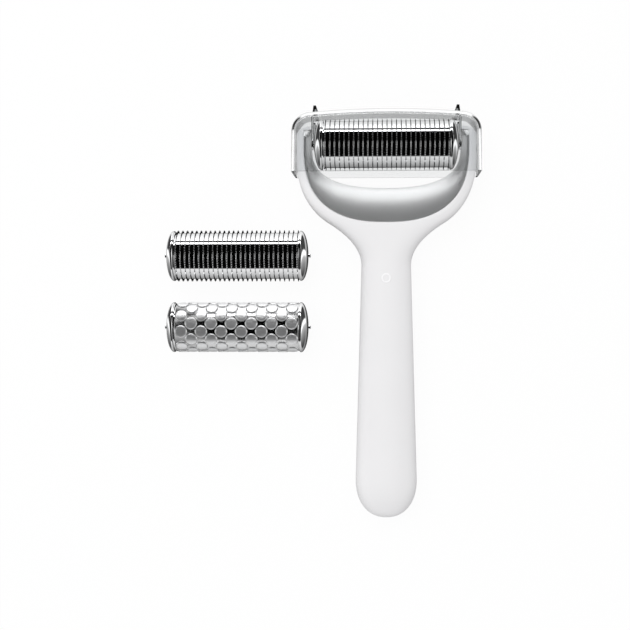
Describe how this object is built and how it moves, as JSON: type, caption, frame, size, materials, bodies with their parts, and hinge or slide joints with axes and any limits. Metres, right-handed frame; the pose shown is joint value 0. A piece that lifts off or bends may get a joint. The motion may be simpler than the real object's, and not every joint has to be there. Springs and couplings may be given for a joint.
{
  "type": "derma roller",
  "caption": "Facial derma roller with a forked handle, a turning needle head under a clear slide-on cap, a spare needle head and a studded massage head.",
  "frame": {"origin": "the point of the cap's flat back straight behind the middle of the roller axis, on the surface the set lies on", "axes": "+X along the roller axis to the right as the front is seen, +Y from the grip to the head, +Z out of the front"},
  "size_m": [0.1219, 0.1577, 0.028],
  "materials": {
    "handle_white": "satin white moulding",
    "liner_chrome": "satin chrome plating",
    "bush_steel": "turned",
    "needle_steel": "stamped and polished",
    "drum_chrome": "mirror plating",
    "core_plastic": "moulded",
    "cap_clear": "clear polished plastic"
  },
  "bodies": {
    "handle": {"handle_front_shell": "handle_white", "handle_back_shell": "handle_white", "fork_liner": "liner_chrome", "left_pin_bush": "bush_steel", "right_pin_bush": "bush_steel", "neck_plug": "handle_white", "neck_screw": "bush_steel"},
    "roller": {"roller_shaft": "bush_steel", "roller_core": "core_plastic", "roller_discs": "needle_steel", "roller_spacers": "drum_chrome", "roller_left_collar": "drum_chrome", "roller_right_collar": "drum_chrome", "roller_left_dome": "drum_chrome", "roller_right_dome": "drum_chrome"},
    "cap": {"clear_cap": "cap_clear"},
    "spare_head": {"spare_shaft": "bush_steel", "spare_core": "core_plastic", "spare_discs": "needle_steel", "spare_spacers": "drum_chrome", "spare_left_collar": "drum_chrome", "spare_right_collar": "drum_chrome", "spare_left_dome": "drum_chrome", "spare_right_dome": "drum_chrome"},
    "massage_head": {"massage_shaft": "bush_steel", "massage_drum": "drum_chrome", "massage_left_collar": "drum_chrome", "massage_right_collar": "drum_chrome", "massage_left_dome": "drum_chrome", "massage_right_dome": "drum_chrome"}
  },
  "joints": [
    {"name": "roller_spin", "type": "hinge", "parent": "handle", "child": "roller", "pos_m": [0, 0, 0.014], "axis": [1, 0, 0], "continuous": true},
    {"name": "cap_slide", "type": "slide", "parent": "handle", "child": "cap", "axis": [0, 1, 0], "range_m": [0, 0.05]},
    {"name": "spare_lift", "type": "slide", "parent": "handle", "child": "spare_head", "axis": [0, 0, 1], "range_m": [0, 0.05]},
    {"name": "massage_lift", "type": "slide", "parent": "handle", "child": "massage_head", "axis": [0, 0, 1], "range_m": [0, 0.05]}
  ]
}
